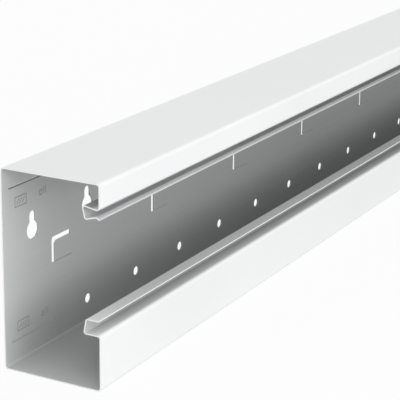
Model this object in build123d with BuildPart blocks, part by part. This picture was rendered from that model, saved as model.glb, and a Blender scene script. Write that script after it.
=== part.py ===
from build123d import *
import os

# Dado trunking base: one sheet of steel, punched flat and rolled into a rectangular channel.
# The front is open between two flanges whose edges are folded back into lips for the cover.
# Frame: X along the length, Y from the front face (-Y) to the wall side (+Y), Z up.
# The origin is at the middle of the underside. Everything is in millimetres.

# Stock and overall size
length = 2000.0
height = 130.0
depth = 70.0
sheet = 0.8
inner_bend = 1.5

# Front flanges, measured from the top face and from the underside to the far side of the fold
upper_flange = 16.7
lower_flange = 36.0

# Upper cover lip, a hook that goes back, down and forward again to a dropped tip
upper_lip_reach = 11.6
upper_lip_rise = 1.95
upper_lip_drop = 8.45
upper_lip_lean = 1.8
upper_lip_return = 7.7
upper_lip_climb = 2.3
upper_tip_run = 2.3
upper_tip_drop = 1.3

# Lower cover lip, a squarer hook with a level top leg
lower_lip_reach = 11.4
lower_lip_rise = 9.3
lower_lip_lean = 1.8
lower_tip_inset = 1.0

# Inner radius of the tight bends in both lips
lip_inner_bend = 0.9

# Pitch of all the punched rows in the wall side
pitch = 62.5

# Keyholes, which hang the trunking on screw heads
keyhole_head_diameter = 12.0
keyhole_head_height = 82.2
keyhole_slot_width = 6.0
keyhole_slot_rise = 9.4

# Round screw holes below them, left out of the first and the last place
screw_hole_diameter = 6.4
screw_hole_height = 16.2

# Tabs, one in every second pitch: an L-shaped slit and a sheared line free three sides
pitches_per_tab = 2
tab_width = 21.0
tab_height = 17.3
tab_underside = 53.7
tab_slit = 3.2
tab_slit_corner = 2.4
tab_corner = 2.0
tab_shear = 0.35
tab_shear_overrun = 1.6

# Sheared lines near both ends, one high and one low
end_shear = 0.5
end_shear_start = 7.0
end_shear_length = 47.0
end_shear_inset = 15.0

# The sheet's middle surface, which the section is drawn on
half_sheet = sheet / 2
bend = inner_bend + half_sheet
lip_bend = lip_inner_bend + half_sheet
front = half_sheet - depth / 2
back = depth / 2 - half_sheet
underside = half_sheet
top = height - half_sheet

# Corners of the upper lip, from the flange's edge to the tip
upper_edge = height - upper_flange + half_sheet
upper_rear = front + upper_lip_reach
upper_rear_height = upper_edge + upper_lip_rise
upper_heel = upper_rear - upper_lip_lean
upper_heel_height = upper_rear_height - upper_lip_drop
upper_knee = upper_heel - upper_lip_return
upper_knee_height = upper_heel_height + upper_lip_climb
upper_tip = upper_knee - upper_tip_run
upper_tip_height = upper_knee_height - upper_tip_drop

# Corners of the lower lip
lower_edge = lower_flange - half_sheet
lower_rear = front + lower_lip_reach
lower_heel = lower_rear - lower_lip_lean
lower_heel_height = lower_edge + lower_lip_rise
lower_tip = front + lower_tip_inset

upper_lip_line = [
    (upper_tip, upper_tip_height),
    (upper_knee, upper_knee_height),
    (upper_heel, upper_heel_height),
    (upper_rear, upper_rear_height),
    (front, upper_edge),
]
body_line = [(front, top), (back, top), (back, underside), (front, underside)]
lower_lip_line = [
    (front, lower_edge),
    (lower_rear, lower_edge),
    (lower_heel, lower_heel_height),
    (lower_tip, lower_heel_height),
]
upper_lip_bends = [lip_bend, lip_bend, lip_bend, bend]
body_bends = [bend] * len(body_line)
lower_lip_bends = [bend, lip_bend, lip_bend]

# Every row is centred on the length
keyhole_count = int(length // pitch)
screw_hole_count = keyhole_count - 2
tab_pitch = pitches_per_tab * pitch
tab_count = int(length // tab_pitch)

# The punching is drawn in X and Z just behind the wall side, and cuts forward through the sheet
punch_plane = Plane.XZ.offset(-depth / 2 - sheet)
punch_depth = 3 * sheet

# The slit around a tab, drawn from the middle of the tab's lower edge. Its outer corner is round,
# and the tab's own corner is cut off straight.
tab_left = -tab_width / 2
tab_right = tab_width / 2
tab_side = tab_left + tab_slit
tab_edge = tab_height - tab_slit
tab_slit_points = [
    (tab_left, 0),
    (tab_left, tab_height),
    (tab_right, tab_height),
    (tab_right, tab_edge),
    (tab_side + tab_corner, tab_edge),
    (tab_side, tab_edge - tab_corner),
    (tab_side, 0),
]
tab_slit_bends = [0, tab_slit_corner, 0, 0, 0, 0, 0]
with BuildSketch() as tab_cut:
    with BuildLine():
        FilletPolyline(*tab_slit_points, radius=tab_slit_bends, close=True)
    make_face()
    shear_start = tab_left + tab_slit / 2
    with Locations((shear_start, 0)):
        Rectangle(
            tab_right + tab_shear_overrun - shear_start, tab_shear, align=(Align.MIN, Align.MIN)
        )

# A keyhole, drawn from the centre of its head
with BuildSketch() as keyhole_cut:
    Circle(keyhole_head_diameter / 2)
    with Locations((0, keyhole_slot_rise / 2)):
        SlotCenterToCenter(keyhole_slot_rise, keyhole_slot_width, rotation=90)

with BuildPart() as trunking_base:
    with BuildSketch(Plane.YZ):
        with BuildLine():
            FilletPolyline(
                *upper_lip_line,
                *body_line,
                *lower_lip_line,
                radius=upper_lip_bends + body_bends + lower_lip_bends,
            )
        trace(line_width=sheet)
    extrude(amount=length / 2, both=True)

    with BuildSketch(punch_plane):
        with Locations((0, keyhole_head_height)):
            with GridLocations(pitch, 0, keyhole_count, 1):
                add(keyhole_cut.sketch)
        with Locations((0, screw_hole_height)):
            with GridLocations(pitch, 0, screw_hole_count, 1):
                Circle(screw_hole_diameter / 2)
        with Locations((0, tab_underside)):
            with GridLocations(tab_pitch, 0, tab_count, 1):
                add(tab_cut.sketch)
        with Locations((0, height / 2)):
            with GridLocations(
                length - 2 * end_shear_start - end_shear_length,
                height - 2 * end_shear_inset,
                2,
                2,
            ):
                Rectangle(end_shear_length, end_shear)
    extrude(amount=punch_depth, mode=Mode.SUBTRACT)

trunking_base.part.label = "trunking_base"
os.makedirs("parts", exist_ok=True)
export_step(trunking_base.part, "parts/trunking_base.step")
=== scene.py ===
"""Dado trunking base in coated sheet steel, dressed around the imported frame.

The whole part is one punched and folded sheet, so its surface is one closed mesh. A line folded in
Y and Z carries the sheet's own section, a thin rounded rectangle as long as the trunking. The flat
wall side of that surface is then punched with keyholes, screw holes, tab slits and sheared lines.
"""
import logging
import math
from dataclasses import dataclass
from enum import Enum, IntEnum
from typing import NamedTuple

import bpy
import numpy as np
from mathutils import Matrix, Vector
from mathutils.geometry import delaunay_2d_cdt


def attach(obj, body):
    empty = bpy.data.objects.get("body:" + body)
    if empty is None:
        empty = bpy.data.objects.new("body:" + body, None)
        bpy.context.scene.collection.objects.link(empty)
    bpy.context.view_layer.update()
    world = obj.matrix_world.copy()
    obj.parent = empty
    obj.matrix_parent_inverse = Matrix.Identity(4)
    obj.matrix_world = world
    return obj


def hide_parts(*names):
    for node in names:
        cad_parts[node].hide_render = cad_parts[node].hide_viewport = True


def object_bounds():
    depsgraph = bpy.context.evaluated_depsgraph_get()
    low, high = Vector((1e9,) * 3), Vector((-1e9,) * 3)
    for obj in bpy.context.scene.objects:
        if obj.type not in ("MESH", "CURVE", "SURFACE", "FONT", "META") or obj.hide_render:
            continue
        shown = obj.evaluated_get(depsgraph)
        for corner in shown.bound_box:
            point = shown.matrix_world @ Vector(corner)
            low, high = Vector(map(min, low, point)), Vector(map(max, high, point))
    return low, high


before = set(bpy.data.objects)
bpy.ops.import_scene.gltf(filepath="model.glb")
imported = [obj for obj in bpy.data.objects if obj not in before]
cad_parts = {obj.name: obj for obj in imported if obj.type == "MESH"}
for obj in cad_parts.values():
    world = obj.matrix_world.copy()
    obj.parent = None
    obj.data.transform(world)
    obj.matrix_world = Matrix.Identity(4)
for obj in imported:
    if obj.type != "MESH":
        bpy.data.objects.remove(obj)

LOG = logging.getLogger("dado_trunking")
MM = 0.001
CAD_NODE = "trunking_base"
CAD_BODY = "root"
CAD_BOX = [list(corner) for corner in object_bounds()]
LENGTH, DEPTH, HEIGHT = (high - low for low, high in zip(*CAD_BOX))
LACQUER_AND_SHADE_SHARE = "lacquer_and_shade_share"
# How far the corners of the cut-outs are nicked
NICK = 0.1 * MM
# A plate's triangles stay within its rim, and points nearer than this are one
CDT_INSIDE = 1
CDT_MERGE = 1e-9

Array = np.ndarray
Color = tuple[float, float, float]
Place = tuple[float, float, float]
Span = tuple[float, float]
Stroke = tuple[Span, Span]
Runs = tuple[float, ...]
Socket = bpy.types.NodeSocket

FULL_SPAN: Span = (0.0, 1.0)
NOISE_SPAN: Span = (0.3, 0.7)
WHITE = (1.0, 1.0, 1.0, 1.0)


class Skin(Enum):
    """The finishes of the sheet, by the order of the mesh's material slots."""

    COAT = 0
    CUT = 1
    PUNCHED = 2
    SHEARED = 3


class Fold(IntEnum):
    """The corners of the folded line, in order from its first tip, and its last tip."""

    UPPER_KNEE = 0
    UPPER_HEEL = 1
    UPPER_REAR = 2
    UPPER_FLANGE = 3
    TOP_FRONT = 4
    TOP_BACK = 5
    FOOT_BACK = 6
    FOOT_FRONT = 7
    LOWER_FLANGE = 8
    LOWER_REAR = 9
    LOWER_HEEL = 10
    LOWER_TIP = 11


class Blend(Enum):
    """What a blend of two inputs works on."""

    COLORS = "RGBA"
    NUMBERS = "FLOAT"


class Step(Enum):
    """The steps of arithmetic in a material."""

    ADD = "ADD"
    MULTIPLY = "MULTIPLY"
    POWER = "POWER"
    MINIMUM = "MINIMUM"
    MAXIMUM = "MAXIMUM"
    ABSOLUTE = "ABSOLUTE"


class FoldedPath(NamedTuple):
    """A folded line in Y and Z: its points, its unit tangents and its outward unit normals."""

    points: Array
    tangents: Array
    normals: Array


class Loop(NamedTuple):
    """A closed outline in X and Z: its points in order and its unit normals into the material."""

    points: Array
    normals: Array


class Surface(NamedTuple):
    """A mesh in parts: each point's place, normal and lacquer share with painted shade, and the
    faces and skins.
    """

    points: Array
    normals: Array
    lacquer: Array
    faces: list[list[int]]
    skins: list[int]


class Box(NamedTuple):
    """An upright rectangle on the wall side, with its left side measured from the near end."""

    left: float
    foot: float
    width: float
    height: float

    def sides(self) -> list[Stroke]:
        """Its four sides as strokes, up the left side first.

        Returns:
            Both ends of each side.
        """
        right, head = self.left + self.width, self.foot + self.height
        corners = [(self.left, self.foot), (self.left, head), (right, head), (right, self.foot)]
        return list(zip(corners, corners[1:] + corners[:1]))

    def diagonals(self, count: int, pitch: float) -> list[Stroke]:
        """Strokes from its lower left to its upper right corner, repeated to the right."""
        low, high = self.foot, self.foot + self.height
        return [((x, low), (x + self.width, high)) for x in self.left + pitch * np.arange(count)]


def unit(vectors: Array) -> Array:
    """Vectors divided by their own lengths."""
    return vectors / np.linalg.norm(vectors, axis=-1, keepdims=True)


def left_of(vectors: Array) -> Array:
    """Plane vectors turned a quarter turn to the left."""
    return np.stack([-vectors[..., 1], vectors[..., 0]], axis=-1)


def turned(vectors: Array, angles: Array) -> Array:
    """Plane vectors turned counterclockwise by angles in radians."""
    cos, sin = np.cos(angles)[..., None], np.sin(angles)[..., None]
    return vectors * cos + left_of(vectors) * sin


def upright(plane: Array, y: Array | float) -> Array:
    """Vectors in X and Z with a Y put between the two."""
    return np.stack([plane[..., 0], np.broadcast_to(y, plane.shape[:-1]), plane[..., 1]], axis=-1)


def fold_line(corners: Array, radii: Array, steps: int, fills: tuple[int, ...]) -> FoldedPath:
    """Rounds the corners of an open line, as a press brake folds a sheet.

    Each corner becomes an arc that touches both of its legs. The arc starts its radius times the
    tangent of half the turn before the corner, and its centre is one radius to the inner side.

    Args:
        corners: the line's corner points, one row of Y and Z each.
        radii: one radius for each corner between the two ends.
        steps: how many chords an arc has.
        fills: how many evenly spaced points each straight leg has between its two ends.

    Returns:
        The rounded line with its tangents and its outward normals.
    """
    legs = unit(np.diff(corners, axis=0))
    before, after = legs[:-1], legs[1:]
    cross = before[:, 0] * after[:, 1] - before[:, 1] * after[:, 0]
    turn = np.arctan2(cross, (before * after).sum(axis=1))
    setback = radii * np.tan(np.abs(turn) / 2)
    start = corners[1:-1] - before * setback[:, None]
    spokes = -left_of(before) * (np.sign(turn) * radii)[:, None]
    centre = start - spokes
    angles = turn[:, None] * np.linspace(0.0, 1.0, steps + 1)[None, :]
    arc_points = centre[:, None, :] + turned(spokes[:, None, :], angles)
    arc_tangents = turned(before[:, None, :], angles)
    leg_starts = np.concatenate([corners[:1], arc_points[:, -1]])
    leg_ends = np.concatenate([arc_points[:, 0], corners[-1:]])
    points, tangents = [corners[:1]], [legs[:1]]
    for leg, count in enumerate(fills):
        points.append(np.linspace(leg_starts[leg], leg_ends[leg], count + 2)[1:-1])
        tangents.append(np.repeat(legs[leg : leg + 1], count, axis=0))
        points.append(arc_points[leg] if leg < len(turn) else corners[-1:])
        tangents.append(arc_tangents[leg] if leg < len(turn) else legs[-1:])
    along = np.concatenate(tangents)
    return FoldedPath(np.concatenate(points), along, left_of(along))


def arc_loop(centre: Span, radius: float, start: float, finish: float, count: int) -> Loop:
    """Points on an arc round a hole: the centre plus the radius times the cosine and sine.

    Args:
        centre: the arc's centre in X and Z.
        radius: the arc's radius.
        start: the angle of the first point, in radians.
        finish: the angle of the last point.
        count: the number of points.

    Returns:
        The points and their normals, which point away from the centre.
    """
    angles = np.linspace(start, finish, count)
    spokes = np.stack([np.cos(angles), np.sin(angles)], axis=-1)
    return Loop(np.asarray(centre) + radius * spokes, spokes)


def polygon_sides(corners: Array) -> Loop:
    """The straight sides of an outline that runs counterclockwise round a hole.

    Each side gives two points, a nick short of its ends, with the side's own normal, which points
    to its right, into the material. So each corner is a tiny chamfer and its sides stay flat.

    Args:
        corners: the corners in order, open at the end.

    Returns:
        Two points for each side.
    """
    starts, finishes = corners[:-1], corners[1:]
    along = unit(finishes - starts)
    points = np.stack([starts + NICK * along, finishes - NICK * along], axis=1)
    normals = np.repeat(-left_of(along)[:, None, :], 2, axis=1)
    return Loop(points.reshape(-1, 2), normals.reshape(-1, 2))


def joined(*parts: Loop) -> Loop:
    """One loop from several stretches in order."""
    points = np.concatenate([part.points for part in parts])
    return Loop(points, np.concatenate([part.normals for part in parts]))


def strip_quads(rows: int, columns: int) -> Array:
    """Four-cornered faces of a grid whose last column joins its first.

    Each face goes from a point to the next row, then to the next column and back.

    Args:
        rows: how many rows of points the grid has.
        columns: how many points a row has.

    Returns:
        Point numbers, with rows less one, columns and four corners.
    """
    row, column = np.meshgrid(np.arange(rows - 1), np.arange(columns), indexing="ij")
    after = (column + 1) % columns
    start, below = row * columns, (row + 1) * columns
    return np.stack([start + column, below + column, below + after, start + after], axis=-1)


def is_inside(places: Array, outline: Array) -> Array:
    """Which places lie inside an outline: those with an odd number of its sides to their right.

    Args:
        places: one row of X and Z for each place.
        outline: the corners of the closed outline.

    Returns:
        One true or false for each place.
    """
    a, b = outline, np.roll(outline, -1, axis=0)
    x, z = places[:, 0:1], places[:, 1:2]
    spans = (a[:, 1] > z) != (b[:, 1] > z)
    rise = np.where(b[:, 1] == a[:, 1], 1.0, b[:, 1] - a[:, 1])
    meets = a[:, 0] + (z - a[:, 1]) * (b[:, 0] - a[:, 0]) / rise
    return (spans & (x < meets)).sum(axis=1) % 2 == 1


def plate_triangles(rim: Array, loops: list[Array]) -> Array:
    """Fills a flat plate round its holes with triangles.

    Args:
        rim: the plate's outer corners in X and Z, in order.
        loops: each hole's outline in X and Z, in order.

    Returns:
        Triangles as numbers into the rim's points followed by each loop's.
    """
    rings = [rim, *loops]
    sizes = [len(ring) for ring in rings]
    starts = np.cumsum([0, *sizes[:-1]])
    turns = [start + np.arange(size) for start, size in zip(starts, sizes)]
    edges = np.concatenate([np.stack([turn, np.roll(turn, -1)], axis=-1) for turn in turns])
    places = np.concatenate(rings)
    filled = delaunay_2d_cdt(places.tolist(), edges.tolist(), [], CDT_INSIDE, CDT_MERGE)
    _, _, found, origins, _, _ = filled
    number = np.array([origin[0] for origin in origins])
    triangles = number[np.array(found)]
    owner = np.repeat(np.arange(len(rings)), sizes)[triangles]
    within = (owner[:, 0] > 0) & (owner[:, 0] == owner[:, 1]) & (owner[:, 0] == owner[:, 2])
    centres = places[triangles].mean(axis=1)
    in_hole = np.zeros(len(triangles), bool)
    for hole, loop in enumerate(loops, start=1):
        mine = np.flatnonzero(within & (owner[:, 0] == hole))
        in_hole[mine] = is_inside(centres[mine], loop)
    corners = places[triangles]
    a, b = corners[:, 1] - corners[:, 0], corners[:, 2] - corners[:, 0]
    clockwise = a[:, 0] * b[:, 1] - a[:, 1] * b[:, 0] < 0
    triangles[clockwise] = triangles[clockwise][:, ::-1]
    return triangles[~in_hole]


def merged(parts: list[Surface]) -> Surface:
    """Several surfaces as one, where each one's faces count on from the points before its own.

    Args:
        parts: the surfaces in order.

    Returns:
        One surface.
    """
    starts = np.cumsum([0] + [len(part.points) for part in parts[:-1]]).tolist()
    faces = [
        [start + number for number in face]
        for start, part in zip(starts, parts)
        for face in part.faces
    ]
    arrays = zip(*((part.points, part.normals, part.lacquer) for part in parts))
    points, normals, lacquer = (np.concatenate(array) for array in arrays)
    return Surface(points, normals, lacquer, faces, [skin for part in parts for skin in part.skins])


@dataclass(frozen=True)
class CoverLip:
    """Sizes of one folded lip that holds the cover, on the sheet's middle surface."""

    flange: float
    reach: float
    rise: float
    lean: float
    drop: float = 0.0
    knee_run: float = 0.0
    knee_climb: float = 0.0
    tip_run: float = 0.0
    tip_drop: float = 0.0
    tip_inset: float = 0.0

    def hooked(self, front: float, top: float) -> Array:
        """Corners of the hooked lip under the top wall, from its tip to its flange.

        Args:
            front: Y of the front flange.
            top: Z of the top wall.

        Returns:
            One row of Y and Z for each corner.
        """
        edge = np.array([front, top - self.flange])
        rear = edge + [self.reach, self.rise]
        heel = rear - [self.lean, self.drop]
        knee = heel + [-self.knee_run, self.knee_climb]
        tip = knee - [self.tip_run, self.tip_drop]
        return np.array([tip, knee, heel, rear, edge])

    def squared(self, front: float, bottom: float) -> Array:
        """Corners of the square lip above the underside, from its flange to its tip.

        Args:
            front: Y of the front flange.
            bottom: Z of the underside.

        Returns:
            One row of Y and Z for each corner.
        """
        edge = np.array([front, bottom + self.flange])
        rear = edge + [self.reach, 0.0]
        heel = rear + [-self.lean, self.rise]
        tip = np.array([front + self.tip_inset, heel[1]])
        return np.array([edge, rear, heel, tip])


@dataclass
class WallPunching:
    """Everything punched through the wall side: its sizes and its outlines in X and Z."""

    length: float
    height: float
    pitch: float = 62.5 * MM
    pitches_per_tab: int = 2
    keyhole_head_radius: float = 6.0 * MM
    keyhole_head_height: float = 82.2 * MM
    keyhole_slot_half: float = 3.0 * MM
    keyhole_slot_rise: float = 9.4 * MM
    screw_radius: float = 3.2 * MM
    screw_height: float = 16.2 * MM
    tab_width: float = 21.0 * MM
    tab_height: float = 17.3 * MM
    tab_underside: float = 53.7 * MM
    tab_slit: float = 3.2 * MM
    tab_slit_corner: float = 2.4 * MM
    tab_corner: float = 2.0 * MM
    tab_shear: float = 0.35 * MM
    tab_shear_overrun: float = 1.6 * MM
    end_shear: float = 0.5 * MM
    end_shear_start: float = 7.0 * MM
    end_shear_length: float = 47.0 * MM
    end_shear_inset: float = 15.0 * MM
    arc_points: int = 13

    def row(self, pitch: float, count: int) -> Array:
        """X of a row of like cut-outs, centred on the length."""
        return (np.arange(count) - (count - 1) / 2) * pitch

    def keyhole(self) -> Loop:
        """A round head with a narrower slot that rises from it to a round end.

        The slot's straight sides meet the head at the angle from straight up whose sine is the
        slot's half width over the head's radius. The head's arc starts and stops a nick past it.

        Returns:
            The outline round the centre of its head.
        """
        half, head, rise = self.keyhole_slot_half, self.keyhole_head_radius, self.keyhole_slot_rise
        meet = math.asin(half / head)
        low, gap = head * math.cos(meet), meet + NICK / head
        end = arc_loop((0.0, rise), half, 0.0, math.pi, self.arc_points)
        left = polygon_sides(np.array([(-half, rise), (-half, low)]))
        turns = (math.pi / 2 + gap, math.pi * 5 / 2 - gap)
        bowl = arc_loop((0.0, 0.0), head, *turns, 3 * self.arc_points)
        right = polygon_sides(np.array([(half, low), (half, rise)]))
        return joined(end, left, bowl, right)

    def screw_hole(self) -> Loop:
        """A full circle of the screw hole's radius, without its repeated last point."""
        circle = arc_loop((0.0, 0.0), self.screw_radius, 0.0, 2 * math.pi, 4 * self.arc_points)
        return Loop(circle.points[:-1], circle.normals[:-1])

    def tab_slit_outline(self) -> Loop:
        """The L-shaped slit round a tab, with the fine sheared line along the tab's lower edge.

        Returns:
            The outline round the middle of the tab's lower edge.
        """
        left, right = -self.tab_width / 2, self.tab_width / 2
        top, corner = self.tab_height, self.tab_slit_corner
        arm, bar = top - self.tab_slit, left + self.tab_slit
        shear_end = right + self.tab_shear_overrun
        centre = (left + corner, top - corner)
        turn = arc_loop(centre, corner, math.pi / 2, math.pi, self.arc_points)
        straight = [
            (left, top - corner),
            (left, 0.0),
            (shear_end, 0.0),
            (shear_end, self.tab_shear),
            (bar, self.tab_shear),
            (bar, arm - self.tab_corner),
            (bar + self.tab_corner, arm),
            (right, arm),
            (right, top),
            (left + corner, top),
        ]
        return joined(turn, polygon_sides(np.array(straight)))

    def end_line(self) -> Loop:
        """A narrow rectangle, the sheared line near an end."""
        x, z = self.end_shear_length / 2, self.end_shear / 2
        return polygon_sides(np.array([(-x, -z), (x, -z), (x, z), (-x, z), (-x, -z)]))

    def outlines(self) -> list[tuple[Loop, Skin]]:
        """Every cut-out of the wall side in its own place, and the finish of its walls.

        The first and the last place of the screw holes' row are left out.

        Returns:
            Loops in X and Z, each with its skin.
        """
        keyholes = round(self.length / self.pitch)
        tabs = keyholes // self.pitches_per_tab
        end_x = self.length / 2 - self.end_shear_start - self.end_shear_length / 2
        ends = np.array([-end_x, end_x])
        low, high = self.end_shear_inset, self.height - self.end_shear_inset
        tab_x = self.row(self.pitches_per_tab * self.pitch, tabs)
        hole, line = Skin.PUNCHED, Skin.SHEARED
        rows = [
            (self.keyhole(), hole, self.row(self.pitch, keyholes), self.keyhole_head_height),
            (self.screw_hole(), hole, self.row(self.pitch, keyholes - 2), self.screw_height),
            (self.tab_slit_outline(), hole, tab_x, self.tab_underside),
            (self.end_line(), hole, ends, low),
            (self.end_line(), line, ends, high),
        ]
        return [
            (Loop(loop.points + [x, z], loop.normals), skin)
            for loop, skin, places, z in rows
            for x in places
        ]


@dataclass
class FoldedSheet:
    """The sheet as one closed surface, from its section, its length and its punching.

    Each leg of the folded line has the number of points that leg_fills gives it, more where the
    lacquer changes along it. A groove's shading gives the way round the folds from its flange, in
    millimetres, and the share of lacquer there, which is painted shade and light of the groove. A
    mist is a share on the inner skin. A share below 0 stays grey until as much more painted end
    light is added there.
    """

    length: float
    height: float
    depth: float
    punching: WallPunching
    upper_lip: CoverLip
    lower_lip: CoverLip
    sheet: float = 0.8 * MM
    bend: float = 1.9 * MM
    lip_bend: float = 1.3 * MM
    edge_radius: float = 0.08 * MM
    arc_steps: int = 8
    edge_steps: int = 3
    stations: int = 33
    leg_fills: tuple[int, ...] = (2, 4, 0, 1, 0, 0, 0, 0, 0, 5, 0, 0)
    tip_turn: float = math.radians(80)
    # Painted shade: these shares darken the white deep in the lips' grooves where shade falls, with
    # painted light lifting it again further in.
    upper_groove_shading: tuple[Runs, Runs] = (
        (0.0, 2.2, 3.3, 10.9, 13.4, 18.7, 20.9, 24.0, 25.5, 27.0, 28.0, 28.9, 29.6, 30.1),
        (1.0, 1.00, 0.40, -0.05, -0.15, -0.15, 0.30, 0.32, 0.26, 0.06, -0.20, -0.20, 0.06, 0.16),
    )
    lower_groove_shading: tuple[Runs, Runs] = (
        (0.0, 0.6, 1.4, 2.2, 3.0, 4.4, 6.0, 9.1, 12.0),
        (1.0, 1.00, 0.83, 0.63, 0.50, 0.39, 0.26, 0.11, -0.04),
    )
    mist: float = 0.02
    ceiling_mist: float = 0.50
    upper_lip_mist: float = -0.52
    lower_lip_mist: float = 0.42

    def path(self) -> FoldedPath:
        """The folded middle line, from the upper lip's tip round to the lower lip's tip.

        Returns:
            The line in Y and Z, tighter in the lips' own folds than in the others.
        """
        half = self.sheet / 2
        front, back = half - self.depth / 2, self.depth / 2 - half
        top, bottom = self.height - half, half
        upper = self.upper_lip.hooked(front, top)
        walls = [(front, top), (back, top), (back, bottom), (front, bottom)]
        corners = np.concatenate([upper, walls, self.lower_lip.squared(front, bottom)])
        radii = np.full(Fold.LOWER_TIP, self.bend)
        radii[: Fold.UPPER_FLANGE] = self.lip_bend
        radii[Fold.LOWER_REAR :] = self.lip_bend
        return fold_line(corners, radii, self.arc_steps, self.leg_fills)

    def thickness_loop(self) -> tuple[Array, Array]:
        """The sheet's own section in X and thickness: core points and corner directions.

        A point of it is its core point plus the edge radius times its direction. The loop runs
        along the outer skin towards -X and round that end. The same, turned half a turn, takes
        it back along the inner skin and round the other end.

        Returns:
            The core points, and the directions as unit vectors.
        """
        x = self.length / 2 - self.edge_radius
        h = self.sheet / 2 - self.edge_radius
        run = np.stack([np.linspace(x, -x, self.stations), np.full(self.stations, h)], axis=-1)
        half = np.concatenate([run, np.repeat([[-x, h], [-x, -h]], self.edge_steps, axis=0)])
        quarter = np.linspace(0.0, math.pi / 2, self.edge_steps + 1)
        turn = [np.zeros(self.stations), quarter[1:], math.pi / 2 + quarter[:-1]]
        angle = math.pi / 2 + np.concatenate([*turn, *(math.pi + part for part in turn)])
        directions = np.stack([np.cos(angle), np.sin(angle)], axis=-1)
        return np.concatenate([half, -half]), directions

    def fold_point(self, fold: Fold) -> int:
        """The number of the folded line's point where a fold's arc starts, or of its last tip."""
        return 1 + fold * (self.arc_steps + 1) + sum(self.leg_fills[: fold + 1])

    def row_picks(self) -> Array:
        """The folded line's point that each row of the grid belongs to."""
        past, inner = self.edge_steps + 1, self.fold_point(Fold.LOWER_TIP) - 1
        return np.repeat(np.arange(inner + 2), [past] + [1] * inner + [past])

    def grid_lacquer_and_shade(self) -> Array:
        """How much of the white lacquer reached each point of the grid, where 1 is all of it.

        Outside it is all there, and on both lips it changes in straight runs with the way round
        the folds, from where the flange ends: painted shade and light for where shade falls in the
        grooves. Inside there is a little mist, none on the upper lip, more on the lower one and
        much under the top wall.

        Returns:
            The share for each row and column.
        """
        line = self.path()
        steps = np.linalg.norm(np.diff(line.points, axis=0), axis=1)
        way = np.concatenate([[0.0], np.cumsum(steps)]) / MM
        upper, lower = self.fold_point(Fold.UPPER_FLANGE), self.fold_point(Fold.LOWER_FLANGE)
        outside = np.interp(way[upper + self.arc_steps] - way, *self.upper_groove_shading)
        outside = outside * np.interp(way - way[lower], *self.lower_groove_shading)
        place = np.arange(len(way))
        inside = np.where(place < self.fold_point(Fold.TOP_BACK), self.ceiling_mist, self.mist)
        inside = np.where(place < upper, self.upper_lip_mist, inside)
        inside = np.where(place >= self.fold_point(Fold.LOWER_HEEL), self.lower_lip_mist, inside)
        pick = self.row_picks()
        core = self.thickness_loop()[0]
        return np.where(core[:, 1] > 0, outside[pick][:, None], inside[pick][:, None])

    def folded_grid(self) -> tuple[Array, Array]:
        """The surface on a grid: rows along the folded line, columns round the sheet's section.

        A point is the line's point, plus the section's core height along the line's normal, plus
        the edge radius along a direction. That direction is the section's own corner direction,
        and past the line's two ends it turns on towards the line's tangent.

        Returns:
            Points and unit normals, each with rows, columns and X, Y, Z.
        """
        line, radius, pick = self.path(), self.edge_radius, self.row_picks()
        past, inner = self.edge_steps + 1, len(line.points) - 2
        end = np.repeat([-1.0, 0.0, 1.0], [past, inner, past])
        bend = np.linspace(self.tip_turn, 0.0, past)
        turn = end * np.concatenate([bend, np.zeros(inner), bend[::-1]])
        core, direction = self.thickness_loop()
        flat = np.cos(turn)[:, None, None] * direction
        past_end = np.broadcast_to(np.sin(turn)[:, None, None], (*flat.shape[:2], 1))
        aim = np.concatenate([flat, past_end], axis=-1)
        local = radius * aim
        local[..., :2] += core
        axes = np.zeros((len(pick), 3, 3))
        axes[:, 0, 0] = 1.0
        axes[:, 1, 1:] = line.normals[pick]
        axes[:, 2, 1:] = line.tangents[pick]
        centre = np.zeros((len(pick), 1, 3))
        centre[:, 0, 1:] = line.points[pick] - radius * end[:, None] * line.tangents[pick]
        return centre + local @ axes, aim @ axes

    def column_skins(self, columns: int) -> Array:
        """The skin of the strip between each column and the next.

        Args:
            columns: how many columns the grid has.

        Returns:
            One skin's number for each column.
        """
        skins = np.full(columns, Skin.CUT.value)
        for first in (0, self.inner_column()):
            skins[first : first + self.stations - 1] = Skin.COAT.value
        return skins

    def inner_column(self) -> int:
        """The grid's column where the inner skin starts."""
        return self.stations + 2 * self.edge_steps

    def wall_row(self) -> int:
        """The grid's row where the flat wall side starts, which ends at the next one."""
        return self.edge_steps + self.fold_point(Fold.TOP_BACK) + self.arc_steps

    def tip_strips(self, columns: int) -> list[list[int]]:
        """Faces across the sheet's thickness that close the first row.

        Args:
            columns: how many columns the grid has.

        Returns:
            The faces, as column numbers.
        """
        count, inner = self.stations, self.inner_column()
        last = inner + count - 1
        strips = [[i, i + 1, last - i - 1, last - i] for i in range(count - 1)]
        strips.append(list(range(count - 1, inner + 1)))
        strips.append([*range(last, columns), 0])
        return strips

    def grid_surface(self) -> Surface:
        """The folded grid as faces, without the wall side's two skins, and with both tips closed.

        Returns:
            The surface, open where the two plates of the wall side go.
        """
        points, normals = self.folded_grid()
        rows, columns = points.shape[:2]
        quads = strip_quads(rows, columns)
        skins = np.broadcast_to(self.column_skins(columns), (rows - 1, columns))
        wall = np.arange(rows - 1)[:, None] == self.wall_row()
        kept = ~wall | (skins == Skin.CUT.value)
        faces, face_skins = quads[kept].tolist(), skins[kept].tolist()
        last = (rows - 1) * columns
        for strip in self.tip_strips(columns):
            faces += [strip, [last + i for i in reversed(strip)]]
            face_skins += [Skin.CUT.value] * 2
        places, aims = points.reshape(-1, 3), normals.reshape(-1, 3)
        return Surface(places, aims, self.grid_lacquer_and_shade().ravel(), faces, face_skins)

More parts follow.
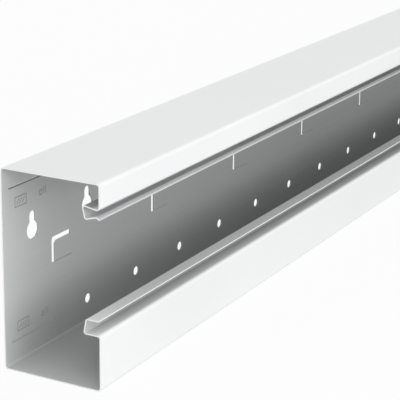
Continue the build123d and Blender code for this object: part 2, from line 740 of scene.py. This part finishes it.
    def hole_surface(self, loop: Loop, skin: Skin) -> Surface:
        """The rounded rim and the wall of one hole, from the outer skin to the inner one.

        Each row is the hole's outline. At the skins it stands one edge radius back in the sheet,
        and a quarter circle brings it to the outline itself, where the wall runs straight across.

        Args:
            loop: the hole's outline and its normals into the material.
            skin: the finish of its wall.

        Returns:
            The rim and the wall, open at both skins.
        """
        radius, around = self.edge_radius, len(loop.points)
        turn = np.linspace(0.0, math.pi / 2, self.edge_steps + 1)
        cos = np.concatenate([np.cos(turn), -np.cos(turn)[::-1]])
        sin = np.concatenate([np.sin(turn), np.sin(turn)[::-1]])
        side = np.repeat([1.0, -1.0], len(turn))
        y = (self.depth - self.sheet) / 2 + side * (self.sheet / 2 - radius) + radius * cos
        plane = loop.points + (radius * (1 - sin))[:, None, None] * loop.normals
        points = upright(plane, y[:, None]).reshape(-1, 3)
        normals = upright(-sin[:, None, None] * loop.normals, cos[:, None]).reshape(-1, 3)
        lacquer = np.repeat([1.0, self.mist], len(turn) * around)
        faces = strip_quads(len(side), around).reshape(-1, 4).tolist()
        return Surface(points, normals, lacquer, faces, [skin.value] * len(faces))

    def plate(self, points: Array, column: int, rings: list[Array], way: int) -> Array:
        """One skin of the flat wall side, filled with triangles round its holes.

        Args:
            points: every point of the sheet's surface.
            column: the grid's column where the skin starts.
            rings: the numbers of the points round each hole in this skin.
            way: 1 to keep each triangle's order, -1 to turn it round.

        Returns:
            Triangles as numbers of the surface's points.
        """
        columns = len(self.thickness_loop()[0])
        top = self.wall_row() * columns + column + np.arange(self.stations)
        rim = np.concatenate([top, (top + columns)[::-1]])
        flat = points[:, [0, 2]]
        triangles = plate_triangles(flat[rim], [flat[ring] for ring in rings])
        return np.concatenate([rim, *rings])[triangles][:, ::way]

    def surface(self) -> Surface:
        """The whole sheet: the folded grid, the rim and wall of each hole, and the two plates.

        Returns:
            One closed surface.
        """
        grid, outlines = self.grid_surface(), self.punching.outlines()
        holes = [self.hole_surface(loop, skin) for loop, skin in outlines]
        body = merged([grid, *holes])
        sizes = [len(hole.points) for hole in holes]
        starts = len(grid.points) + np.cumsum([0, *sizes[:-1]])
        outer = [start + np.arange(len(loop.points)) for start, (loop, _) in zip(starts, outlines)]
        inner = [ring + size - len(ring) for ring, size in zip(outer, sizes)]
        plates = self.plate(body.points, 0, outer, -1).tolist()
        plates += self.plate(body.points, self.inner_column(), inner, 1).tolist()
        skins = body.skins + [Skin.COAT.value] * len(plates)
        return Surface(body.points, body.normals, body.lacquer, body.faces + plates, skins)


@dataclass
class PressedMarks:
    """Low strokes on the inside of the wall near both ends, the same high up and low down.

    They are a panel with slanted strokes in it, a small panel and bars. A burr runs along the
    lower side of the upper sheared line as well. All are in a darker grey, painted shade along
    their edges, and the burr widens the shade of the sheared line. Each stroke is a long low pod
    that lies on the sheet's inner face. Its section is an ellipse, and its two ends are half
    ellipsoids.
    """

    punching: WallPunching
    face: float
    half_width: float = 0.32 * MM
    height: float = 0.10 * MM
    panel: Box = Box(13.3 * MM, 101.2 * MM, 12.0 * MM, 6.2 * MM)
    slant: Box = Box(15.2 * MM, 102.8 * MM, 2.2 * MM, 3.0 * MM)
    slant_count: int = 3
    slant_pitch: float = 3.0 * MM
    small_panel: Box = Box(39.6 * MM, 102.4 * MM, 2.4 * MM, 3.0 * MM)
    bar: Box = Box(44.2 * MM, 102.6 * MM, 0.0, 4.3 * MM)
    bar_count: int = 2
    bar_pitch: float = 2.2 * MM
    drop: float = 80.6 * MM
    shade_burr_inset: float = 0.4 * MM
    shade_burr_gap: float = 0.35 * MM
    rounds: int = 5
    around: int = 10
    tip_turn: float = math.radians(8)

    def strokes(self) -> Array:
        """Every stroke at the near end.

        Returns:
            Both ends of each, as X from the trunking's end and Z.
        """
        slants = self.slant.diagonals(self.slant_count, self.slant_pitch)
        bars = self.bar.diagonals(self.bar_count, self.bar_pitch)
        upper = np.array(self.panel.sides() + slants + self.small_panel.sides() + bars)
        line = self.punching
        z = line.height - line.end_shear_inset - line.end_shear / 2 - self.shade_burr_gap
        start, run = line.end_shear_start + self.shade_burr_inset, line.end_shear_length
        # The burr pod wears the darker stroke finish: painted shade that widens the sheared line.
        burr = np.array([((start, z), (start + run - 2 * self.shade_burr_inset, z))])
        return np.concatenate([upper, upper - [0.0, self.drop], burr])

    def pod(self) -> tuple[Array, Array]:
        """The round of a pod as a unit ball, cut in half across, with rows from tip to tip.

        A point is the cosine of the row's turn along the stroke, and the sine of it times the
        cosine and sine of the spin round the stroke.

        Returns:
            The ball's points along, across and out, and which half each row belongs to.
        """
        quarter = np.linspace(self.tip_turn, math.pi / 2, self.rounds)
        turn = np.concatenate([quarter, math.pi - quarter[::-1]])[:, None]
        spin = np.linspace(0.0, 2 * math.pi, self.around, endpoint=False)
        along = np.broadcast_to(np.cos(turn), (len(turn), self.around))
        ball = np.stack([along, np.sin(turn) * np.cos(spin), np.sin(turn) * np.sin(spin)], axis=-1)
        return ball, np.repeat([1.0, -1.0], self.rounds)

    def surface(self) -> Surface:
        """Every stroke as a closed pod, at the near end and mirrored at the far one.

        A point is the stroke's middle, plus along it the half length to the point's own side,
        plus the ball's point times the half width along and across and the height outwards.

        Returns:
            All pods as one surface without lacquer.
        """
        near = self.strokes() - [self.punching.length / 2, 0.0]
        both = np.concatenate([near, near * [-1.0, 1.0]])
        half = (both[:, 1] - both[:, 0]) / 2
        along, reach = unit(half), np.linalg.norm(half, axis=1)
        ball, side = self.pod()
        scale = np.array([self.half_width, self.half_width, self.height])
        local = np.repeat((ball * scale)[None], len(both), axis=0)
        local[..., 0] += (reach[:, None] * side)[..., None]
        axes = np.zeros((len(both), 1, 3, 3))
        axes[:, 0, 0, [0, 2]] = along
        axes[:, 0, 1, [0, 2]] = left_of(along)
        axes[:, 0, 2, 1] = -1.0
        middle = upright(both.mean(axis=1), self.face)
        points = middle[:, None, None] + local @ axes
        normals = unit((ball / scale) @ axes)
        pods, rows, around = points.shape[:3]
        quads = strip_quads(rows, around).reshape(-1, 4)
        caps = [list(range(around)), list(range((rows - 1) * around, rows * around))[::-1]]
        first = rows * around * np.arange(pods)
        faces = (first[:, None, None] + quads).reshape(-1, 4).tolist()
        faces += [[start + i for i in cap] for start in first.tolist() for cap in caps]
        places, aims = points.reshape(-1, 3), normals.reshape(-1, 3)
        return Surface(places, aims, np.zeros(len(places)), faces, [0] * len(faces))


def put_in_scene(name: str, data: bpy.types.ID) -> bpy.types.Object:
    """Puts a mesh, a light or a camera into the scene.

    Args:
        name: the name of the object that holds it.
        data: the mesh, the light or the camera.

    Returns:
        The object, at the origin.
    """
    holder = bpy.data.objects.new(name, data)
    bpy.context.scene.collection.objects.link(holder)
    return holder


def facing(back: Vector) -> Matrix:
    """The turn of a lamp or a camera whose back points along a direction, with its X level."""
    return back.to_track_quat("Z", "Y").to_matrix().to_4x4()


def mesh_piece(
    name: str, surface: Surface, materials: list[bpy.types.Material]
) -> bpy.types.Object:
    """Puts a surface into a new mesh object and ties it to the CAD node that it stands for.

    Args:
        name: the piece's name.
        surface: its points, normals, faces and skins.
        materials: its finishes, in the order of the skins.

    Returns:
        The object, at the origin, with its place in its mesh.
    """
    mesh = bpy.data.meshes.new(name)
    mesh.from_pydata(surface.points.tolist(), [], surface.faces, shade_flat=False)
    for material in materials:
        mesh.materials.append(material)
    mesh.polygons.foreach_set("material_index", surface.skins)
    share = mesh.attributes.new(LACQUER_AND_SHADE_SHARE, "FLOAT", "POINT")
    share.data.foreach_set("value", surface.lacquer)
    mesh.update()
    mesh.normals_split_custom_set_from_vertices(surface.normals.tolist())
    piece = put_in_scene(name, mesh)
    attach(piece, CAD_BODY)
    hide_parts(CAD_NODE)
    LOG.info("%s: %d faces", name, len(mesh.polygons))
    return piece


def mixed_shader(tree: bpy.types.NodeTree, share: Socket, under: Socket, over: Socket) -> Socket:
    """One shader over another.

    Args:
        tree: the node tree that both are in.
        share: how much of the upper one there is, from 0 to 1.
        under: the shader that shows at 0.
        over: the shader that shows at 1.

    Returns:
        The mixed shader's output.
    """
    mix = tree.nodes.new("ShaderNodeMixShader")
    for source, target in zip((share, under, over), mix.inputs):
        tree.links.new(source, target)
    return mix.outputs["Shader"]


class Nodes:
    """The node tree of one material, with its shader and its Object coordinates at hand."""

    def __init__(self, name: str) -> None:
        """Makes the material and finds its shader.

        Args:
            name: the material's name.
        """
        self.material = bpy.data.materials.new(name)
        self.material.use_nodes = True
        self.tree = self.material.node_tree
        self.shader = self.tree.nodes["Principled BSDF"]
        self.place = self.tree.nodes.new("ShaderNodeTexCoord").outputs["Object"]

    def feed(self, target: Socket, source: Socket | float | tuple[float, ...]) -> None:
        """Joins an output to an input, or sets the input to a fixed number, place or colour.

        Args:
            target: the input.
            source: the output or the fixed value.
        """
        if isinstance(source, Socket):
            self.tree.links.new(source, target)
        else:
            target.default_value = source

    def noise(self, stretch: Place, detail: float) -> Socket:
        """Cloudy noise from 0 to 1.

        Args:
            stretch: how many clouds there are to a metre, along X, Y and Z.
            detail: how many finer layers are added.

        Returns:
            The noise's output.
        """
        mapping = self.tree.nodes.new("ShaderNodeMapping")
        self.feed(mapping.inputs["Scale"], stretch)
        self.feed(mapping.inputs["Vector"], self.place)
        clouds = self.tree.nodes.new("ShaderNodeTexNoise")
        self.feed(clouds.inputs["Scale"], 1.0)
        self.feed(clouds.inputs["Detail"], detail)
        self.feed(clouds.inputs["Vector"], mapping.outputs["Vector"])
        return clouds.outputs["Fac"]

    def ranged(self, value: Socket, source: Span, target: Span) -> Socket:
        """A value moved from one range to another and held at its ends.

        Args:
            value: the value.
            source: the values that give the two ends of the new range.
            target: the two ends of the new range.

        Returns:
            The new value's output.
        """
        node = self.tree.nodes.new("ShaderNodeMapRange")
        names = ("From Min", "From Max", "To Min", "To Max")
        for name, number in zip(names, (*source, *target)):
            self.feed(node.inputs[name], number)
        self.feed(node.inputs["Value"], value)
        return node.outputs["Result"]

    def spread(self, noise: Socket, target: Span = FULL_SPAN) -> Socket:
        """Noise stretched to a range, because nearly all of it lies within NOISE_SPAN."""
        return self.ranged(noise, NOISE_SPAN, target)

    def attribute(self, name: str) -> Socket:
        """A number that the mesh carries at each of its points.

        Args:
            name: the attribute's name.

        Returns:
            The number's output.
        """
        node = self.tree.nodes.new("ShaderNodeAttribute")
        node.attribute_name = name
        return node.outputs["Fac"]

    def arithmetic(self, step: Step, value: Socket, other: Socket | float = 0.0) -> Socket:
        """One step of arithmetic.

        Args:
            step: the step.
            value: the first number.
            other: the second number, where the step has one.

        Returns:
            The result's output.
        """
        node = self.tree.nodes.new("ShaderNodeMath")
        node.operation = step.value
        self.feed(node.inputs[0], value)
        self.feed(node.inputs[1], other)
        return node.outputs["Value"]

    def ramp(self, axis: str, start: float, finish: float) -> Socket:
        """How far out a place is along an axis, to either side: 0 at the start, 1 at the finish.

        Args:
            axis: X, Y or Z.
            start: the distance from the origin where it is 0, in metres.
            finish: the distance where it is 1.

        Returns:
            The ramp's output.
        """
        axes = self.tree.nodes.new("ShaderNodeSeparateXYZ")
        self.feed(axes.inputs["Vector"], self.place)
        distance = self.arithmetic(Step.ABSOLUTE, axes.outputs[axis])
        return self.ranged(distance, (start, finish), FULL_SPAN)

    def blend(
        self,
        kind: Blend,
        share: Socket,
        under: Socket | tuple[float, ...],
        over: Socket | tuple[float, ...],
    ) -> Socket:
        """A blend of two colours or two numbers.

        Args:
            kind: which of the two it works on.
            share: how much of the upper one there is, from 0 to 1.
            under: the one that shows at 0.
            over: the one that shows at 1.

        Returns:
            The blend's output.
        """
        mix = self.tree.nodes.new("ShaderNodeMix")
        mix.data_type = kind.value
        sockets = [socket for socket in mix.inputs if socket.enabled]
        for target, source in zip(sockets, (share, under, over)):
            self.feed(target, source)
        return next(socket for socket in mix.outputs if socket.enabled)

    def tones(self, value: Socket, low: Color, high: Color) -> Socket:
        """A colour that runs from one tone to another as a value runs from 0 to 1."""
        return self.blend(Blend.COLORS, value, (*low, 1.0), (*high, 1.0))

    def bump(self, height: Socket, depth: float, under: Socket | None = None) -> Socket:
        """A surface normal tilted by a height.

        Args:
            height: the height from 0 to 1.
            depth: how deep the relief is, in metres.
            under: another relief's normal that this one is added to.

        Returns:
            The tilted normal.
        """
        node = self.tree.nodes.new("ShaderNodeBump")
        self.feed(node.inputs["Distance"], depth)
        self.feed(node.inputs["Height"], height)
        if under is not None:
            self.feed(node.inputs["Normal"], under)
        return node.outputs["Normal"]


@dataclass(frozen=True)
class SprayedCoat:
    """White lacquer over a grey primer, as the mesh's share of lacquer and painted shade says.

    It whitens towards both open ends, and most high up inside: painted light where light falls
    in through the ends.
    """

    name: str = "sprayed_coat"
    white: Color = (0.845, 0.858, 0.858)
    white_cloud: Color = (0.820, 0.834, 0.836)
    primer: Color = (0.336, 0.348, 0.345)
    primer_streak: Color = (0.318, 0.330, 0.327)
    white_roughness: Span = (0.32, 0.40)
    primer_roughness: Span = (0.56, 0.46)
    specular: float = 0.5
    clouds: float = 9.0
    skin: float = 420.0
    skin_depth: float = 0.010 * MM
    streaks: Place = (8.0, 1100.0, 1100.0)
    grain: Place = (60.0, 1500.0, 1500.0)
    grain_depth: float = 0.006 * MM
    half_length: float = LENGTH / 2
    # Painted light: the share rises near both open ends, over a wider run as well, and most high up
    # inside, where light from the ends falls.
    end_light: float = 0.24
    end_light_reach: float = 75.0 * MM
    end_light_power: float = 3.0
    wide_end_light: float = 0.22
    wide_end_light_reach: float = 450.0 * MM
    high_end_light: float = 0.32
    high_end_light_band: Span = (80.0 * MM, 124.0 * MM)
    high_end_light_inset: float = 34.0 * MM

    def share(self, nodes: Nodes) -> Socket:
        """The mesh's own share of lacquer and painted shade, plus the painted end light, and at
        most 1.

        Args:
            nodes: the material's nodes.

        Returns:
            The share's output.
        """
        end = self.half_length
        rise = nodes.ramp("X", end - self.end_light_reach, end)
        near = nodes.arithmetic(Step.POWER, rise, self.end_light_power)
        far = nodes.ramp("X", end - self.wide_end_light_reach, end)
        inset = nodes.ramp("X", end, end - self.high_end_light_inset)
        high = nodes.arithmetic(Step.MULTIPLY, nodes.ramp("Z", *self.high_end_light_band), inset)
        share = nodes.attribute(LACQUER_AND_SHADE_SHARE)
        end_lights = ((near, self.end_light), (far, self.wide_end_light), (high, self.high_end_light))
        for nearness, end_light in end_lights:
            amount = nodes.arithmetic(Step.MULTIPLY, nearness, end_light)
            share = nodes.arithmetic(Step.ADD, share, amount)
        return nodes.arithmetic(Step.MINIMUM, share, 1.0)

    def material(self) -> bpy.types.Material:
        """Cloudy white over streaky grey, with the sprayed skin's waves over the strip's grain.

        Returns:
            The material.
        """
        nodes = Nodes(self.name)
        shader, share = nodes.shader.inputs, self.share(nodes)
        clouds = nodes.spread(nodes.noise((self.clouds,) * 3, detail=3.0))
        streaks = nodes.spread(nodes.noise(self.streaks, detail=3.0))
        white = nodes.tones(clouds, self.white_cloud, self.white)
        grey = nodes.tones(streaks, self.primer_streak, self.primer)
        nodes.feed(shader["Base Color"], nodes.blend(Blend.COLORS, share, grey, white))
        rough_white = nodes.ranged(clouds, FULL_SPAN, self.white_roughness)
        rough_grey = nodes.ranged(streaks, FULL_SPAN, self.primer_roughness)
        roughness = nodes.blend(Blend.NUMBERS, share, rough_grey, rough_white)
        nodes.feed(shader["Roughness"], roughness)
        grain = nodes.bump(nodes.noise(self.grain, detail=2.0), self.grain_depth)
        waves = nodes.noise((self.skin,) * 3, detail=1.0)
        nodes.feed(shader["Normal"], nodes.bump(waves, self.skin_depth, grain))
        shader["Specular IOR Level"].default_value = self.specular
        return nodes.material


@dataclass(frozen=True)
class CutEdge:
    """The cut edges, where the lacquer runs thin and shows specks of the zinc under it."""

    name: str = "cut_edge"
    light: Color = (0.86, 0.87, 0.87)
    dark: Color = (0.79, 0.80, 0.80)
    roughness: Span = (0.55, 0.35)
    specks: float = 1100.0
    burr: Place = (2500.0, 300.0, 2500.0)
    burr_depth: float = 0.01 * MM
    specular: float = 0.5

    def material(self) -> bpy.types.Material:
        """Fine specks in tone and gloss, and shear marks across the sheet in relief.

        Returns:
            The material.
        """
        nodes = Nodes(self.name)
        shader = nodes.shader.inputs
        specks = nodes.noise((self.specks,) * 3, detail=2.0)
        burr = nodes.noise(self.burr, detail=1.0)
        nodes.feed(shader["Base Color"], nodes.tones(nodes.spread(specks), self.dark, self.light))
        nodes.feed(shader["Roughness"], nodes.spread(specks, self.roughness))
        nodes.feed(shader["Normal"], nodes.bump(burr, self.burr_depth))
        shader["Specular IOR Level"].default_value = self.specular
        return nodes.material


@dataclass(frozen=True)
class PaintedStrokeShade:
    """The raised strokes, a darker grey than the coat: painted shade along their edges."""

    name: str = "pressed_mark"
    light: Color = (0.30, 0.31, 0.31)
    dark: Color = (0.24, 0.25, 0.25)
    roughness: Span = (0.45, 0.60)
    grain: float = 900.0

    def material(self) -> bpy.types.Material:
        """Fine cloudy grain between two greys.

        Returns:
            The material.
        """
        nodes = Nodes(self.name)
        shader = nodes.shader.inputs
        grain = nodes.noise((self.grain,) * 3, detail=2.0)
        nodes.feed(shader["Base Color"], nodes.tones(nodes.spread(grain), self.dark, self.light))
        nodes.feed(shader["Roughness"], nodes.spread(grain, self.roughness))
        return nodes.material


@dataclass
class TrunkingBase:
    """The trunking base: its folded and punched sheet and the marks stamped into it."""

    length: float = LENGTH
    height: float = HEIGHT
    depth: float = DEPTH
    upper_lip: CoverLip = CoverLip(
        flange=15.9 * MM,
        reach=11.6 * MM,
        rise=1.95 * MM,
        lean=1.8 * MM,
        drop=8.45 * MM,
        knee_run=7.7 * MM,
        knee_climb=2.3 * MM,
        tip_run=2.3 * MM,
        tip_drop=1.3 * MM,
    )
    lower_lip: CoverLip = CoverLip(
        flange=35.2 * MM, reach=11.4 * MM, rise=9.3 * MM, lean=1.8 * MM, tip_inset=1.0 * MM
    )
    coat: SprayedCoat = SprayedCoat()
    cut: CutEdge = CutEdge()
    punched: CutEdge = CutEdge("punched_edge", light=(0.37, 0.38, 0.38), dark=(0.29, 0.30, 0.30))
    # Painted shade: the upper sheared line's walls are near black, standing for the shade inside
    # the narrow slit.
    sheared: CutEdge = CutEdge(
        "sheared_line_shade", light=(0.07, 0.072, 0.072), dark=(0.04, 0.042, 0.042), specular=0.05
    )

    def build(self) -> list[bpy.types.Object]:
        """Makes the sheet and the marks and dresses them in their finishes.

        Returns:
            The two pieces.
        """
        punching = WallPunching(self.length, self.height)
        sheet = FoldedSheet(
            length=self.length,
            height=self.height,
            depth=self.depth,
            punching=punching,
            upper_lip=self.upper_lip,
            lower_lip=self.lower_lip,
        )
        finishes = {
            Skin.COAT: self.coat,
            Skin.CUT: self.cut,
            Skin.PUNCHED: self.punched,
            Skin.SHEARED: self.sheared,
        }
        skins = [finishes[skin].material() for skin in Skin]
        marks = PressedMarks(punching, self.depth / 2 - sheet.sheet)
        return [
            mesh_piece("folded_sheet", sheet.surface(), skins),
            mesh_piece("pressed_marks", marks.surface(), [PaintedStrokeShade().material()]),
        ]


@dataclass(frozen=True)
class SoftLamp:
    """A distant soft studio lamp, by its side, its height in the sky, its level and its breadth.

    The side is 0 in front of the trunking and 90 off its left end. At level 1 the lamp lights a
    surface that faces it so that its colour renders as it is written. All angles are in degrees.
    """

    name: str
    side: float
    elevation: float
    level: float
    breadth: float = 40.0

    def way_out(self) -> Vector:
        """The direction from the trunking to the lamp.

        Returns:
            A unit vector.
        """
        side, up = math.radians(self.side), math.radians(self.elevation)
        flat = math.cos(up)
        return Vector((-math.sin(side) * flat, -math.cos(side) * flat, math.sin(up)))

    def light(self) -> bpy.types.Light:
        """A sun with the lamp's breadth, whose strength is pi times the level.

        Returns:
            The light.
        """
        lamp = bpy.data.lights.new(self.name, "SUN")
        lamp.energy = math.pi * self.level
        lamp.angle = math.radians(self.breadth)
        return lamp

    def place(self) -> Vector:
        """Where the lamp's object stands, which is of no account for a distant one."""
        return Vector((0.0, 0.0, 0.0))

    def build(self) -> None:
        """Makes the lamp and turns it to the trunking."""
        holder = put_in_scene(self.name, self.light())
        holder.matrix_world = Matrix.Translation(self.place()) @ facing(self.way_out())


@dataclass(frozen=True)
class NearLamp(SoftLamp):
    """A soft round lamp at a distance from the trunking's left end, which its level is true for."""

    breadth: float = 38.6
    distance: float = 1.0
    target: Place = (-LENGTH / 2, -DEPTH / 2, HEIGHT / 2)

    def light(self) -> bpy.types.Light:
        """A disk as wide as the breadth asks, whose power is the square of pi times its distance.

        Returns:
            The light.
        """
        lamp = bpy.data.lights.new(self.name, "AREA")
        lamp.shape = "DISK"
        lamp.size = 2 * self.distance * math.tan(math.radians(self.breadth) / 2)
        lamp.energy = self.level * (math.pi * self.distance) ** 2
        return lamp

    def place(self) -> Vector:
        """The target plus the distance along the way out."""
        return Vector(self.target) + self.distance * self.way_out()


@dataclass
class Studio:
    """A plain white studio: its floor, its surroundings and its lamps."""

    floor_size: float = 60.0
    floor_color: Color = (0.80, 0.80, 0.80)
    floor_fleck: Color = (0.792, 0.792, 0.792)
    floor_clouds: float = 3.0
    floor_roughness: float = 0.9
    floor_glow: float = 0.94
    surroundings: float = 0.735
    lamps: tuple[SoftLamp, ...] = (
        SoftLamp("front_lamp", side=0.0, elevation=8.0, level=0.235),
        NearLamp("near_lamp", side=20.0, elevation=10.0, level=0.155, distance=2.0),
        NearLamp("end_lamp", side=80.0, elevation=0.0, level=0.15, distance=1.8),
        NearLamp("corner_lamp", side=50.0, elevation=35.0, level=0.215, distance=3.6),
    )

    def floor_material(self) -> bpy.types.Material:
        """Pale paper that shows mostly its own white to the camera and lights as paper does.

        Returns:
            The material.
        """
        nodes = Nodes("studio_paper")
        tree, shader = nodes.tree, nodes.shader.inputs
        clouds = nodes.spread(nodes.noise((self.floor_clouds,) * 3, detail=2.0))
        nodes.feed(shader["Base Color"], nodes.tones(clouds, self.floor_fleck, self.floor_color))
        shader["Roughness"].default_value = self.floor_roughness
        shader["Specular IOR Level"].default_value = 0.0
        seen = tree.nodes.new("ShaderNodeLightPath").outputs["Is Camera Ray"]
        glow = tree.nodes.new("ShaderNodeEmission").outputs["Emission"]
        share = nodes.arithmetic(Step.MULTIPLY, seen, self.floor_glow)
        paper = mixed_shader(tree, share, nodes.shader.outputs["BSDF"], glow)
        tree.links.new(paper, tree.nodes["Material Output"].inputs["Surface"])
        return nodes.material

    def floor(self) -> bpy.types.Object:
        """A pale square under the object, nearly white to the camera but for the shadow.

        Returns:
            The floor's object.
        """
        half = self.floor_size / 2
        mesh = bpy.data.meshes.new("studio_floor")
        corners = [(-half, -half, 0.0), (half, -half, 0.0), (half, half, 0.0), (-half, half, 0.0)]
        mesh.from_pydata(corners, [], [[0, 1, 2, 3]])
        mesh.materials.append(self.floor_material())
        floor = put_in_scene("studio_floor", mesh)
        return floor

    def world(self) -> None:
        """White to the camera and in reflections, and a plain soft level of light elsewhere."""
        world = bpy.data.worlds.new("studio_surroundings")
        world.use_nodes = True
        tree = world.node_tree
        soft, white = tree.nodes["Background"], tree.nodes.new("ShaderNodeBackground")
        for background, strength in ((soft, self.surroundings), (white, 1.0)):
            background.inputs["Color"].default_value = WHITE
            background.inputs["Strength"].default_value = strength
        ray = tree.nodes.new("ShaderNodeLightPath")
        seen = tree.nodes.new("ShaderNodeMath")
        seen.operation = Step.MAXIMUM.value
        for target, name in zip(seen.inputs, ("Is Camera Ray", "Is Glossy Ray")):
            tree.links.new(ray.outputs[name], target)
        backgrounds = [node.outputs["Background"] for node in (soft, white)]
        both = mixed_shader(tree, seen.outputs["Value"], *backgrounds)
        tree.links.new(both, tree.nodes["World Output"].inputs["Surface"])
        bpy.context.scene.world = world

    def build(self) -> None:
        """Makes the floor, the surroundings and the lamps."""
        self.floor()
        self.world()
        for lamp in self.lamps:
            lamp.build()


@dataclass
class PhotoCamera:
    """The camera at the photograph's place, by its place, its aim, its roll and its lens.

    The roll is in degrees, from the camera's right towards its top. The lens and the sensor are
    in millimetres.
    """

    place: Place = (-1.707199, -0.483790, 0.380347)
    aim: Place = (-0.81398, 0.0, 0.065753)
    roll: float = 0.798
    lens: float = 136.779
    sensor: float = 36.0

    def build(self) -> None:
        """Makes the camera, turns it to its aim, rolls it and hands it to the scene."""
        camera = bpy.data.cameras.new("photo_camera")
        camera.lens, camera.sensor_width = self.lens, self.sensor
        holder = put_in_scene("photo_camera", camera)
        place, aim = Vector(self.place), Vector(self.aim)
        roll = Matrix.Rotation(math.radians(self.roll), 4, "Z")
        holder.matrix_world = Matrix.Translation(place) @ facing(place - aim) @ roll
        bpy.context.scene.camera = holder


def main() -> None:
    """Builds the trunking, then the studio and the camera."""
    logging.basicConfig(level=logging.INFO, format="%(name)s: %(message)s")
    bpy.context.scene.view_settings.view_transform = "Standard"
    for piece in TrunkingBase().build():
        LOG.info("%s rides on %s", piece.name, CAD_BODY)
    Studio().build()
    LOG.info("studio: floor, surroundings and lamps")
    PhotoCamera().build()
    LOG.info("photo_camera: set")


if __name__ == "__main__":
    main()
